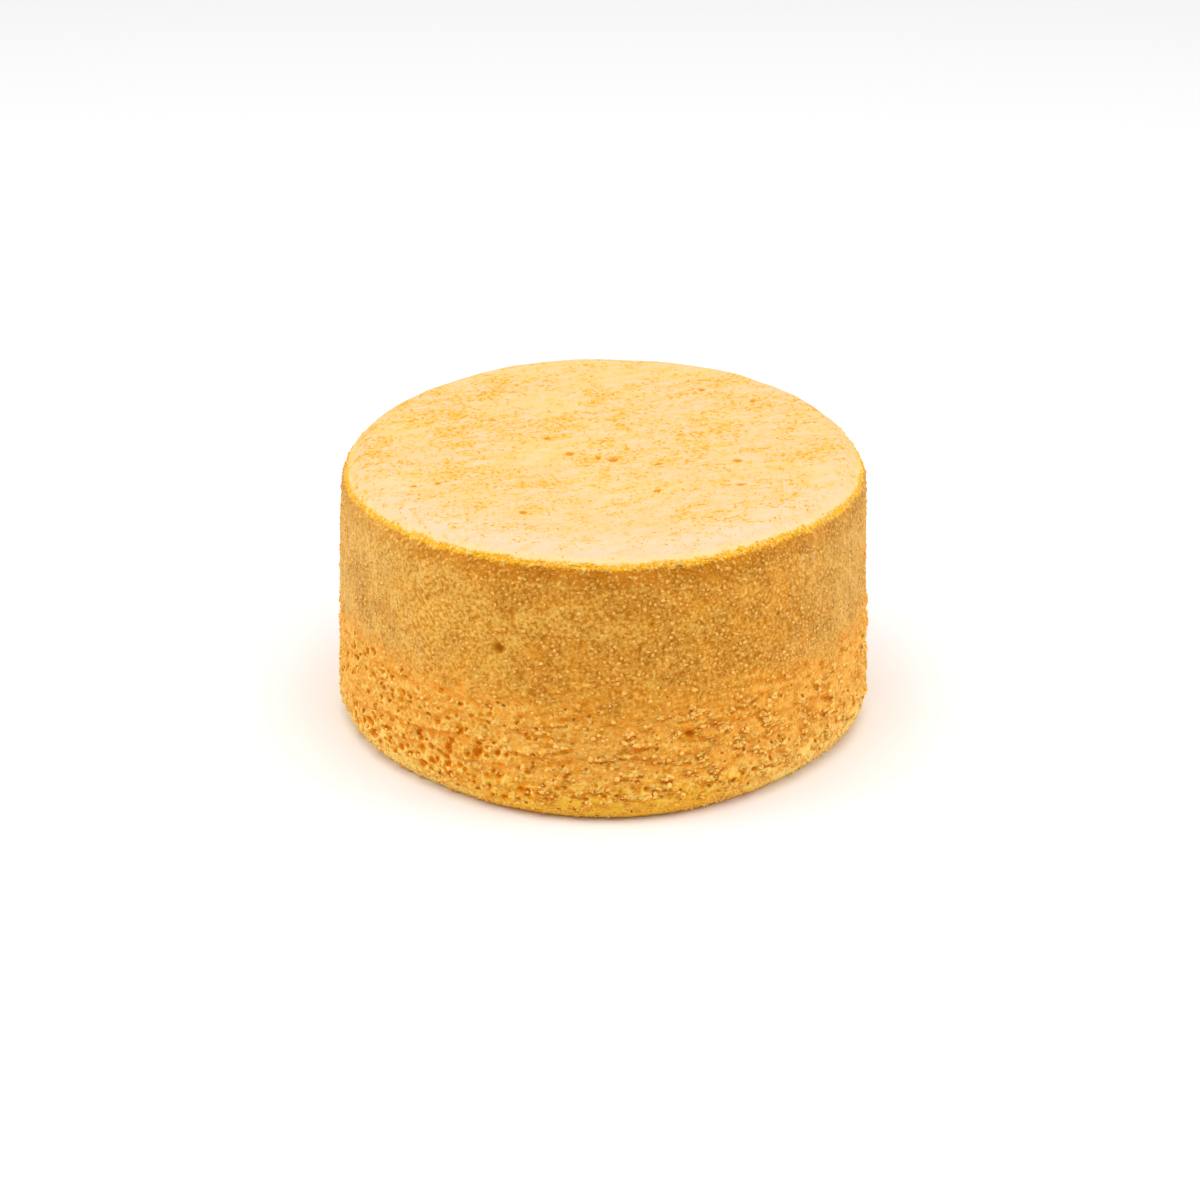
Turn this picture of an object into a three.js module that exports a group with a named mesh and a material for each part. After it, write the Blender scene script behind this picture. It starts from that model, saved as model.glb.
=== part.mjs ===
// A tall plain round cake, turned out of a deep round tin and left uncut and bare.
// Millimetres, +Z up. The origin is the middle of the flat underside.
import * as THREE from "three";
import { mergeVertices } from "three/addons/utils/BufferGeometryUtils.js";

// Driving dimensions.
const DIAMETER = 205; // across the widest part of the side
const HEIGHT = 108; // from the underside to the level of the top
const SHOULDER_TAPER = 1.9; // by which the radius is less at the top of the side
const RIM_WIDTH = 10.5; // how far in from the side the rounded rim starts
const RIM_DROP = 11.5; // how far down the side it reaches
const RIM_FULLNESS = 1.5; // 1 is a straight bevel and 2 a quarter of an ellipse
const FOOT_WIDTH = 7.4; // the same three for the rounded foot
const FOOT_RISE = 12;
const FOOT_FULLNESS = 1.6;
const FOOT_SPREAD = 0.018; // how far the foot is out of round, as a share of the radius
const TOP_RISE_RIGHT = 0.8; // how much higher the top stands at its right edge than at the middle
const TOP_RISE_BACK = 0.7; // and at its back edge
const BELT_LOW = 9; // the wrinkled, pitted belt round the lower side
const BELT_HIGH = 52;
const BELT_FADE = 9; // over which its relief dies away at both edges
const CRATER_COUNT = 130; // shallow hollows in the belt
const CRATER_WIDTH = 8.5; // the widest of them
const CRATER_DEPTH = 0.9;
const CRATER_LEAST = 0.6; // the smallest of them, as a share of the widest
const CRATER_SINKING = 1.4; // 1 spreads them evenly up the belt, and more gathers them low down
const SLICES = 148; // faces round the cake
const FOOT_STEPS = 5; // rings of faces up the foot, the belt, the upper side and the rim
const BELT_STEPS = 17;
const UPPER_STEPS = 6;
const RIM_STEPS = 6;
const TOP_RINGS = [0.84, 0.64, 0.4, 0.18, 0]; // across the flat top, as shares of its radius
const RADIUS = DIAMETER / 2;
const SIDE_TOP = HEIGHT - RIM_DROP;
const TOP_RADIUS = RADIUS - SHOULDER_TAPER - RIM_WIDTH;

// Waves of the side's unevenness: how deep, how many round the cake and up it, and where they start.
const SIDE_WAVES = [
  { depth: 0.2, round: 3, up: 1, start: 0.4 },
  { depth: 0.16, round: 5, up: 2, start: 2.1 },
  { depth: 0.12, round: 11, up: 3, start: 4.0 },
];
// Lumps along the rim, where the crust is crumbly.
const RIM_WAVES = [
  { depth: 0.12, round: 19, start: 0.9 },
  { depth: 0.11, round: 31, start: 3.3 },
  { depth: 0.1, round: 43, start: 5.2 },
];
// Plane waves of the top's unevenness: depth, length and heading.
const TOP_WAVES = [
  { depth: 0.2, length: 83, heading: 0.5 },
  { depth: 0.15, length: 47, heading: 1.9 },
  { depth: 0.1, length: 29, heading: 2.8 },
];
// Level wrinkles of the belt: each sways up and down as it goes round, and shows in some stretches.
const WRINKLES = [
  { depth: 0.5, pitch: 8.6, round: 7, sway: 1.6, start: 0.0, stretches: 5 },
  { depth: 0.42, pitch: 6.2, round: 13, sway: 1.2, start: 2.0, stretches: 11 },
  { depth: 0.3, pitch: 5.1, round: 17, sway: 1.4, start: 4.4, stretches: 15 },
];

const TURN = 2 * Math.PI;
const QUARTER = Math.PI / 2;
const NEAR_ZERO = 1e-6;
const MERGE_DISTANCE = 1e-3;
const smooth = THREE.MathUtils.smoothstep;

// A quarter of a rounded edge from 0 to 1: how far along and how far out, by the edge's fullness.
function roundedEdge(share, fullness) {
  const angle = share * QUARTER;
  return {
    along: Math.sin(angle) ** (2 / fullness),
    out: Math.cos(angle) ** (2 / fullness),
  };
}

// The section from the middle of the underside, round the foot, up the side and over the rim.
function sectionPoints() {
  const points = [new THREE.Vector2(0, 0)];
  const add = (radius, height) => points.push(new THREE.Vector2(radius, height));
  for (let i = 0; i <= FOOT_STEPS; i++) {
    const { along, out } = roundedEdge(i / FOOT_STEPS, FOOT_FULLNESS);
    add(RADIUS - FOOT_WIDTH * (1 - along), FOOT_RISE * (1 - out));
  }
  const addSide = (height) => {
    const share = (height - FOOT_RISE) / (SIDE_TOP - FOOT_RISE);
    add(RADIUS - SHOULDER_TAPER * share, height);
  };
  for (let i = 1; i <= BELT_STEPS; i++) {
    addSide(FOOT_RISE + ((BELT_HIGH - FOOT_RISE) * i) / BELT_STEPS);
  }
  for (let i = 1; i < UPPER_STEPS; i++) {
    addSide(BELT_HIGH + ((SIDE_TOP - BELT_HIGH) * i) / UPPER_STEPS);
  }
  for (let i = 0; i <= RIM_STEPS; i++) {
    const { along, out } = roundedEdge(i / RIM_STEPS, RIM_FULLNESS);
    add(TOP_RADIUS + RIM_WIDTH * out, SIDE_TOP + RIM_DROP * along);
  }
  for (const share of TOP_RINGS) {
    add(TOP_RADIUS * share, HEIGHT);
  }
  return points;
}

// The fractional part of a number, for a spread of places that never repeats.
const fraction = (value) => value - Math.floor(value);

// The hollows of the belt, spread round it by the golden angle. Their heights and sizes step by
// the plastic number's powers, which spread as evenly.
function craters() {
  const goldenAngle = Math.PI * (3 - Math.sqrt(5));
  const plasticNumber = 1.324718;
  return Array.from({ length: CRATER_COUNT }, (_, i) => {
    const size = THREE.MathUtils.lerp(CRATER_LEAST, 1, fraction(i / plasticNumber ** 2));
    const lift = fraction(i / plasticNumber) ** CRATER_SINKING;
    return {
      azimuth: (i * goldenAngle) % TURN,
      height: BELT_LOW + (BELT_HIGH - BELT_LOW) * lift,
      radius: (CRATER_WIDTH / 2) * size,
      depth: CRATER_DEPTH * size,
    };
  });
}

const CRATERS = craters();

// How deep the hollows are at a place on the side.
function craterDepth(azimuth, height) {
  let depth = 0;
  for (const crater of CRATERS) {
    const turned = Math.atan2(
      Math.sin(azimuth - crater.azimuth),
      Math.cos(azimuth - crater.azimuth),
    );
    const away = Math.hypot(turned * RADIUS, height - crater.height);
    const share = away / crater.radius;
    if (share < 1) depth = Math.max(depth, crater.depth * (1 - share * share));
  }
  return depth;
}

// How far the belt's wrinkles stand out at a place on the side.
function wrinkleHeight(azimuth, height) {
  const rising = smooth(height, BELT_LOW, BELT_LOW + BELT_FADE);
  const falling = 1 - smooth(height, BELT_HIGH - BELT_FADE, BELT_HIGH);
  let sum = 0;
  for (const { depth, pitch, round, sway, start, stretches } of WRINKLES) {
    const phase = (TURN * height) / pitch + sway * Math.sin(round * azimuth + start);
    const strength = 0.5 + 0.5 * Math.sin(stretches * azimuth + start);
    sum += depth * strength * Math.sin(phase);
  }
  return sum * rising * falling;
}

// How far the side stands out from its section, by its waves, wrinkles, hollows and lumpy rim.
function sideRelief(azimuth, height) {
  let sum = 0;
  for (const { depth, round, up, start } of SIDE_WAVES) {
    sum += depth * Math.sin(round * azimuth + start) * Math.cos((up * Math.PI * height) / HEIGHT);
  }
  const rimShare = smooth(height, SIDE_TOP, SIDE_TOP + RIM_DROP / 2);
  for (const { depth, round, start } of RIM_WAVES) {
    sum += rimShare * depth * Math.sin(round * azimuth + start);
  }
  return sum + wrinkleHeight(azimuth, height) - craterDepth(azimuth, height);
}

// How much higher than its section the top stands.
function topRelief(x, y) {
  let sum = (TOP_RISE_RIGHT * x + TOP_RISE_BACK * y) / RADIUS;
  for (const { depth, length, heading } of TOP_WAVES) {
    const along = x * Math.cos(heading) + y * Math.sin(heading);
    sum += depth * Math.sin((TURN * along) / length);
  }
  return sum;
}

// Out of round at the foot and truer towards the top: wider at the front and back than on the diagonals.
function planShare(azimuth, height) {
  const low = 1 - height / HEIGHT;
  return 1 + FOOT_SPREAD * low * (Math.cos(4 * azimuth) - Math.cos(2 * azimuth));
}

// Moves a vertex of the turned section to its place on the uneven cake.
function shaped(point) {
  const { x, y, z } = point;
  const radius = Math.max(Math.hypot(x, y), NEAR_ZERO);
  const azimuth = Math.atan2(y, x);
  const edge = smooth(radius, RADIUS - 2 * RIM_WIDTH, RADIUS - RIM_WIDTH / 2);
  const moved = radius * planShare(azimuth, z) + edge * (z > 0 ? sideRelief(azimuth, z) : 0);
  const raised = z + (z / HEIGHT) ** 2 * topRelief(x, y);
  return point.set((x * moved) / radius, (y * moved) / radius, raised);
}

// The whole cake: the section turned round the axis, made uneven, and centred on the origin.
function cakeGeometry() {
  const turned = new THREE.LatheGeometry(sectionPoints(), SLICES);
  turned.rotateX(QUARTER);
  turned.deleteAttribute("normal");
  turned.deleteAttribute("uv");
  const geometry = mergeVertices(turned, MERGE_DISTANCE);
  const position = geometry.getAttribute("position");
  const point = new THREE.Vector3();
  for (let i = 0; i < position.count; i++) {
    shaped(point.fromBufferAttribute(position, i));
    position.setXYZ(i, point.x, point.y, point.z);
  }
  geometry.computeBoundingBox();
  const middle = geometry.boundingBox.getCenter(new THREE.Vector3());
  geometry.translate(-middle.x, -middle.y, 0);
  geometry.computeVertexNormals();
  return geometry;
}

// Baked crust: matt, tan-gold.
const crust = new THREE.MeshStandardMaterial({
  color: 0xdda04a,
  roughness: 0.85,
  metalness: 0,
});

const cake = new THREE.Mesh(cakeGeometry(), crust);
cake.name = "cake";

const group = new THREE.Group();
group.add(cake);

export default group;
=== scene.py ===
"""A tall plain round golden cake, uncut and bare, on a pale studio floor.

The body is one closed mesh that Geometry Nodes make from the same named sizes as the cake's solid.
One set of crumb rules gives the mesh its relief, and the crust its colours and its finest grain.
Loose crumbs lie on it at true size: on the side, on the belt round its lower half and on the rim.
"""

import logging
import math
from dataclasses import dataclass, replace
from enum import Enum
from functools import cached_property, reduce
from typing import Callable, Optional, Sequence, Union

import bpy
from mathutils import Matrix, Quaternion, Vector


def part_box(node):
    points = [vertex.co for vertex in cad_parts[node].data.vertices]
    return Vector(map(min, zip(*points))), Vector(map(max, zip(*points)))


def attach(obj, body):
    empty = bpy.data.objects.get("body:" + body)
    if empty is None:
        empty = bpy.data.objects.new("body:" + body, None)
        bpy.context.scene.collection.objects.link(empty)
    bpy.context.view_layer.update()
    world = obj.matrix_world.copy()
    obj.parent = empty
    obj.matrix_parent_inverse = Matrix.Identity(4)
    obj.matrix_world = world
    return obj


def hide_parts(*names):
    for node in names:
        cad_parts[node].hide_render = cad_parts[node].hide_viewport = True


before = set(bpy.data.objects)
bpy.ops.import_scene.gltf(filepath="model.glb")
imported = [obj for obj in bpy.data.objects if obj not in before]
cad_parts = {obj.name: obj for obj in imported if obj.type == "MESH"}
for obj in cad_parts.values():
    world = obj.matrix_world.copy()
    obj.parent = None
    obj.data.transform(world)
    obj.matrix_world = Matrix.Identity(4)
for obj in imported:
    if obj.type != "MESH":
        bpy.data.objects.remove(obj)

LOG = logging.getLogger("cake")
MM = 0.001
TURN = 2.0 * math.pi
GOLDEN_ANGLE = math.pi * (3.0 - math.sqrt(5.0))
PLASTIC_NUMBER = 1.324718
Triple = tuple[float, float, float]
Colour = Triple
Size = Union[float, Triple]
Inputs = dict[Union[int, str], object]


class Easing(Enum):
    """How a share runs from 0 to 1 between two values."""

    STRAIGHT = "LINEAR"
    SMOOTH = "SMOOTHSTEP"


class Zone(Enum):
    """The mesh's attributes: where a point is on the body, and how much of each kind of crust it has."""

    HOME = "home"
    RUN = "run"
    BELT = "belt"
    FOOT = "foot"
    PATCH = "patch"
    TOAST = "toast"
    RIM = "rim"
    HOLLOW = "hollow"
    GRAINS = "grains"
    CRUMBLE = "crumble"
    CHANCE = "chance"


@dataclass(frozen=True)
class Layer:
    """A soft random pattern: its patches' size in millimetres, its finer detail, and its shift."""

    size: Size
    detail: float = 2.0
    offset: float = 0.0
    roughness: float = 0.6


def sign(operation: str, swapped: bool = False) -> Callable[["Field", "Number"], "Field"]:
    """Makes one of the signs that fields are summed with.

    Args:
        operation: Blender's name for the operation.
        swapped: whether the other number comes first.

    Returns:
        The method for the sign.
    """

    def result(one: "Field", other: "Number") -> "Field":
        """The sum, as a node's output."""
        return one.graph.math(operation, *((other, one) if swapped else (one, other)))

    return result


@dataclass(frozen=True)
class Field:
    """One output of a node graph, which can stand in a sum as a number does."""

    graph: "Graph"
    socket: bpy.types.NodeSocket

    __add__ = __radd__ = sign("ADD")
    __mul__ = __rmul__ = sign("MULTIPLY")
    __sub__ = sign("SUBTRACT")
    __rsub__ = sign("SUBTRACT", swapped=True)
    __truediv__ = sign("DIVIDE")
    __rtruediv__ = sign("DIVIDE", swapped=True)
    __pow__ = sign("POWER")


Number = Union[float, Field]
Paint = Union[Colour, Field]


class Graph:
    """Builds the nodes of a geometry tree or a material from sums written in Python."""

    def __init__(self, tree: bpy.types.NodeTree) -> None:
        """Keeps the tree that the nodes go into."""
        self.tree = tree

    def feed(self, socket: bpy.types.NodeSocket, value: object) -> None:
        """Gives a socket its value.

        Args:
            socket: an input of a node.
            value: a field or an output, which is linked, or a constant, which is set.
        """
        value = value.socket if isinstance(value, Field) else value
        if isinstance(value, bpy.types.NodeSocket):
            self.tree.links.new(value, socket)
        else:
            socket.default_value = value

    def node(self, kind: str, inputs: Optional[Inputs] = None, **settings: object) -> bpy.types.Node:
        """Adds a node.

        Args:
            kind: Blender's name for the node's type.
            inputs: what its inputs get, by their names or places.
            settings: the node's own properties.

        Returns:
            The new node.
        """
        node = self.tree.nodes.new(kind)
        for name, value in settings.items():
            setattr(node, name, value)
        for name, value in (inputs or {}).items():
            self.feed(node.inputs[name], value)
        return node

    def field(
        self,
        kind: str,
        inputs: Optional[Inputs] = None,
        output: Union[int, str] = 0,
        **settings: object,
    ) -> Field:
        """Adds a node and gives one of its outputs."""
        return Field(self, self.node(kind, inputs, **settings).outputs[output])

    def in_use(self, node: bpy.types.Node, values: Sequence[object]) -> Field:
        """Feeds a node whose data type decides which of its sockets are in use.

        Args:
            node: the node.
            values: what its first inputs in use get.

        Returns:
            Its output in use.
        """
        for socket, value in zip([socket for socket in node.inputs if socket.enabled], values):
            self.feed(socket, value)
        return Field(self, next(socket for socket in node.outputs if socket.enabled))

    def math(self, operation: str, first: Number, second: Number = 0.0) -> Field:
        """A sum of one or two numbers, by Blender's name for the operation."""
        return self.field("ShaderNodeMath", {0: first, 1: second}, operation=operation)

    def sine(self, angle: Number) -> Field:
        """The sine of an angle."""
        return self.math("SINE", angle)

    def cosine(self, angle: Number) -> Field:
        """The cosine of an angle."""
        return self.math("COSINE", angle)

    def most(self, *values: Number) -> Field:
        """The largest of some numbers."""
        return reduce(lambda one, other: self.math("MAXIMUM", one, other), values)

    def ease(self, value: Number, start: Number, end: Number, easing: Easing = Easing.SMOOTH) -> Field:
        """A share that is 0 where a number is at start, and 1 where it is at end, which may be less."""
        inputs = {"Value": value, "From Min": start, "From Max": end}
        return self.field("ShaderNodeMapRange", inputs, interpolation_type=easing.value)

    def blend(self, share: Number, first: Number, second: Number) -> Field:
        """Goes from one number to another by a share."""
        return first + (second - first) * share

    def tint(self, share: Number, first: Paint, second: Paint) -> Field:
        """Goes from one colour to another by a share."""
        paints = [(*paint, 1.0) if isinstance(paint, tuple) else paint for paint in (first, second)]
        return self.in_use(self.node("ShaderNodeMix", data_type="RGBA"), (share, *paints))

    def coated(self, base: Paint, *coats: tuple[Number, Paint]) -> Field:
        """Lays coats of colour over a base.

        Args:
            base: the colour under them.
            coats: the share and the colour of each coat.

        Returns:
            The colour that shows.
        """
        for share, colour in coats:
            base = self.tint(share, base, colour)
        return base

    def split(self, vector: Field) -> tuple[Field, ...]:
        """The three parts of a vector."""
        return tuple(Field(self, part) for part in self.node("ShaderNodeSeparateXYZ", {0: vector}).outputs)

    def join(self, x: Number, y: Number, z: Number) -> Field:
        """A vector from its three parts."""
        return self.field("ShaderNodeCombineXYZ", {0: x, 1: y, 2: z})

    def vector(self, operation: str, first: object, second: object, output: Union[int, str] = 0) -> Field:
        """A sum of two vectors, by Blender's name for the operation."""
        return self.field("ShaderNodeVectorMath", {0: first, 1: second}, output, operation=operation)

    def length(self, first: object, second: object = (0.0, 0.0, 0.0)) -> Field:
        """How far apart two points are."""
        return self.vector("DISTANCE", first, second, "Value")

    def scale(self, vector: Field, factor: Number) -> Field:
        """A vector times a number."""
        return self.field("ShaderNodeVectorMath", {0: vector, "Scale": factor}, operation="SCALE")

    def scaled(self, point: Field, size: Size, offset: float) -> Field:
        """Measures a point in sizes, and shifts it.

        Args:
            point: the point, in millimetres.
            size: the size, in millimetres, or that for each axis.
            offset: the shift, so that two patterns of a size differ.

        Returns:
            The point that a pattern is read at.
        """
        sizes = (size, size, size) if isinstance(size, float) else size
        shift = (offset, 0.7 * offset, 0.4 * offset)
        inputs = {0: point, 1: tuple(1.0 / part for part in sizes), 2: shift}
        return self.field("ShaderNodeVectorMath", inputs, operation="MULTIPLY_ADD")

    def noise(self, point: Field, layer: Layer) -> Field:
        """Reads a soft random pattern.

        Args:
            point: where it is read, in millimetres.
            layer: the pattern.

        Returns:
            A number near 0.5, from about 0.2 to 0.8.
        """
        place = self.scaled(point, layer.size, layer.offset)
        inputs = {"Vector": place, "Scale": 1.0, "Detail": layer.detail, "Roughness": layer.roughness}
        return self.field("ShaderNodeTexNoise", inputs)

    def cells(self, point: Field, size: Size, offset: float = 0.0) -> tuple[Field, Field]:
        """Reads a pattern of random cells.

        Args:
            point: where it is read, in millimetres.
            size: how far apart the cells are, in millimetres, or that for each axis.
            offset: shifts the pattern, so that two of a size differ.

        Returns:
            How far the cell's middle is, in cell sizes, and a random number for each cell.
        """
        inputs = {"Vector": self.scaled(point, size, offset), "Scale": 1.0}
        node = self.node("ShaderNodeTexVoronoi", inputs)
        random, _, _ = self.split(Field(self, node.outputs["Color"]))
        return Field(self, node.outputs["Distance"]), random


def new_object(name: str, data: bpy.types.ID) -> bpy.types.Object:
    """Adds an object to the scene.

    Args:
        name: its name.
        data: its mesh, light or camera.

    Returns:
        The object.
    """
    thing = bpy.data.objects.new(name, data)
    bpy.context.scene.collection.objects.link(thing)
    return thing


class ShapeGraph(Graph):
    """Builds a geometry tree, whose inputs are a mesh and the plain numbers of a dataclass."""

    def __init__(self, name: str, sizes: object) -> None:
        """Makes the tree and its sockets.

        Args:
            name: the tree's name, and that of the piece it makes.
            sizes: the dataclass. A copy whose numbers are the tree's inputs is kept as size.
        """
        super().__init__(bpy.data.node_groups.new(name, "GeometryNodeTree"))
        numbers = {key: value for key, value in vars(sizes).items() if isinstance(value, float)}
        new_socket = self.tree.interface.new_socket
        new_socket("Geometry", in_out="INPUT", socket_type="NodeSocketGeometry")
        new_socket("Geometry", in_out="OUTPUT", socket_type="NodeSocketGeometry")
        self.values = {}
        for key, value in numbers.items():
            title = key.replace("_", " ").title()
            socket = new_socket(title, in_out="INPUT", socket_type="NodeSocketFloat")
            self.values[socket.identifier] = value
        self.base, *given = self.node("NodeGroupInput").outputs
        self.size = replace(sizes, **{key: Field(self, socket) for key, socket in zip(numbers, given)})

    @property
    def position(self) -> Field:
        """Where each point is, in metres."""
        return self.field("GeometryNodeInputPosition")

    def attribute(self, zone: Zone) -> Field:
        """Reads one of the mesh's attributes."""
        inputs = {"Name": zone.value}
        return self.field("GeometryNodeInputNamedAttribute", inputs, "Attribute", data_type="FLOAT")

    def shape(
        self,
        kind: str,
        mesh: bpy.types.NodeSocket,
        inputs: Optional[Inputs] = None,
        **settings: object,
    ) -> bpy.types.NodeSocket:
        """Adds a node that changes a mesh, and gives the changed one."""
        return self.node(kind, {0: mesh, **(inputs or {})}, **settings).outputs[0]

    def stored(self, mesh: bpy.types.NodeSocket, zone: Zone, value: Number) -> bpy.types.NodeSocket:
        """Stores a value on each point.

        Args:
            mesh: the mesh or the points.
            zone: the attribute that it goes into.
            value: the value.

        Returns:
            The same mesh with the attribute, which the materials and later steps read.
        """
        kind = "FLOAT_VECTOR" if zone is Zone.HOME else "FLOAT"
        inputs = {"Name": zone.value, "Value": value}
        return self.shape("GeometryNodeStoreNamedAttribute", mesh, inputs, data_type=kind)

    def moved(self, mesh: bpy.types.NodeSocket, position: Field) -> bpy.types.NodeSocket:
        """Moves each point to a position."""
        return self.shape("GeometryNodeSetPosition", mesh, {"Position": position})

    def inside(self, position: Field) -> Field:
        """Keeps a position inside the solid's box."""
        low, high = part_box("cake")
        return self.vector("MINIMUM", self.vector("MAXIMUM", position, tuple(low)), tuple(high))

    def sampled(
        self,
        points: bpy.types.NodeSocket,
        index: Field,
        kind: str,
        data_type: str = "FLOAT",
    ) -> Field:
        """Reads a value off one of some points, by its index."""
        inputs = {"Geometry": points, "Value": self.field(kind), "Index": index}
        return self.field("GeometryNodeSampleIndex", inputs, data_type=data_type)

    def finish(self, mesh: bpy.types.NodeSocket, smooth: bool, material: bpy.types.Material) -> None:
        """Ends the tree.

        Args:
            mesh: what it makes.
            smooth: whether the faces are shaded as one surface.
            material: what they are made of.
        """
        shaded = self.shape("GeometryNodeSetShadeSmooth", mesh, {"Shade Smooth": smooth})
        realized = self.shape("GeometryNodeRealizeInstances", shaded)
        dressed = self.shape("GeometryNodeSetMaterial", realized, {"Material": material})
        self.node("NodeGroupOutput", {0: dressed})

    def piece(self, base: bpy.types.Mesh) -> bpy.types.Object:
        """Runs the tree and keeps what it makes as a plain mesh.

        Args:
            base: the mesh that the tree starts from.

        Returns:
            The object, with no modifier, riding on the root body.
        """
        name = self.tree.name
        holder = new_object(name + "_holder", base)
        modifier = holder.modifiers.new("shape", "NODES")
        modifier.node_group = self.tree
        for identifier, value in self.values.items():
            modifier[identifier] = value
        bpy.context.view_layer.update()
        evaluated = holder.evaluated_get(bpy.context.evaluated_depsgraph_get())
        mesh = bpy.data.meshes.new_from_object(evaluated)
        mesh.name = name
        bpy.data.objects.remove(holder)
        piece = new_object(name, mesh)
        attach(piece, "root")
        LOG.info("%s: %d triangles", name, sum(len(face.vertices) - 2 for face in mesh.polygons))
        return piece


@dataclass(frozen=True)
class SideWave:
    """Slow unevenness of the side: its depth, its turns round and up the cake, and its start."""

    depth: float
    round: int
    up: int
    start: float


@dataclass(frozen=True)
class TopWave:
    """Slow unevenness of the top: its depth, its length and its heading."""

    depth: float
    length: float
    heading: float


@dataclass(frozen=True)
class Wrinkle:
    """Level wrinkles of the belt: they sway as they go round, and show in some stretches."""

    depth: float
    pitch: float
    round: int
    sway: float
    start: float
    stretches: int


def edge_length(width: float, height: float, fullness: float, steps: int = 64) -> float:
    """How long a rounded edge is.

    Args:
        width: how far it reaches inwards.
        height: how far it reaches up or down.
        fullness: 1 for a straight bevel and 2 for a quarter of an ellipse.
        steps: how many straight pieces it is measured in.

    Returns:
        Its length, in the units of its width.
    """
    power = 2.0 / fullness
    points = []
    for step in range(steps + 1):
        angle = step / steps * TURN / 4.0
        points.append((width * math.sin(angle) ** power, height * max(math.cos(angle), 0.0) ** power))
    return sum(math.dist(first, second) for first, second in zip(points, points[1:]))


@dataclass(frozen=True)
class CakeSizes:
    """The cake's driving sizes, in millimetres, as in its solid."""

    diameter: float = 205.0
    height: float = 108.0
    shoulder_taper: float = 1.9
    rim_width: float = 10.5
    rim_drop: float = 11.5
    rim_fullness: float = 1.5
    foot_width: float = 7.4
    foot_rise: float = 12.0
    foot_fullness: float = 1.6
    foot_spread: float = 0.018
    top_rise_right: float = 0.8
    top_rise_back: float = 0.7
    belt_low: float = 9.0
    belt_high: float = 52.0
    belt_fade: float = 9.0

    @property
    def radius(self) -> float:
        """Half the width across the side."""
        return self.diameter / 2.0

    @property
    def top_radius(self) -> float:
        """Where the flat top ends and the rounded rim starts."""
        return self.radius - self.shoulder_taper - self.rim_width

    @property
    def side_top(self) -> float:
        """The height at which the rounded rim starts."""
        return self.height - self.rim_drop

    @property
    def foot_run(self) -> float:
        """How long the rounded foot is along the section."""
        return edge_length(self.foot_width, self.foot_rise, self.foot_fullness)

    @property
    def rim_run(self) -> float:
        """How long the rounded rim is along the section."""
        return edge_length(self.rim_width, self.rim_drop, self.rim_fullness)

    @property
    def rim_start(self) -> float:
        """How far from the underside's edge the rim starts, along the section."""
        return self.foot_run + self.side_top - self.foot_rise

    @property
    def whole_run(self) -> float:
        """How far the flat top's edge is from the underside's edge, along the section."""
        return self.rim_start + self.rim_run


@dataclass(frozen=True)
class Spots:
    """Separate rounded holes of random sizes, spread over the crust.

    Spacing is in millimetres for each axis, widest is the largest radius as a share of it, and
    share says how many of the places have a hole.
    """

    spacing: Triple
    widest: float
    share: float
    offset: float


@dataclass(frozen=True)
class CrumbSizes:
    """How coarse and how deep the crust's grain, holes and crumbs are, in millimetres."""

    seed: float = 7.0
    grain_size: float = 1.45
    grain_depth: float = 0.45
    grain_fuzz: Layer = Layer(1.595, 3.0)
    coarse: Layer = Layer(9.0, 2.0, 71.0)
    ripple: Layer = Layer(3.8, 2.0, 33.0)
    ripple_depth: float = 0.3
    pores: Spots = Spots((2.4, 2.4, 2.1), 0.7, 0.75, 5.0)
    pore_depth: float = 0.45
    pits: Spots = Spots((3.7, 3.7, 3.0), 0.72, 0.85, 11.0)
    pit_depth: float = 1.1
    warp: Layer = Layer(1.7, 1.0, 4.0)
    warp_share: float = 0.1
    flakes: Layer = Layer((8.5, 8.5, 2.7), 3.0, 41.0, 0.62)
    flake_depth: float = 1.0
    undercut_drop: float = 1.1
    undercut_depth: float = 0.8
    lip_width: float = 0.16
    lip_drop: float = 0.5
    lip_depth: float = 0.25
    rim_wander: Layer = Layer(2.6, 2.0, 21.0)
    rim_wander_depth: float = 0.8
    rim_band: float = 0.9
    rim_lumps: Layer = Layer(2.8, 2.0, 27.0)
    rim_lump_depth: float = 0.2
    # how far below the rim's line the darker band reaches
    under_rim_reach: float = 12.0
    smooth: Layer = Layer((30.0, 30.0, 22.0), 3.0, 17.0)
    blotches: Layer = Layer((44.0, 30.0, 30.0), 3.0, 2.0)
    streaks: Layer = Layer(4.6, 4.0, 61.0, 0.72)
    streak_turn: float = 20.0
    streak_draw: float = 2.4
    patches: Layer = Layer(24.0)
    patch_reach: float = 5.0
    shreds: Layer = Layer(4.0, 2.0, 9.0)
    shred_reach: float = 2.0


@dataclass(frozen=True)
class ZoneShares:
    """How much of each kind of crust a place has, each from 0 to 1."""

    belt: Field
    foot: Field
    patch: Field
    toast: Field


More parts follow.
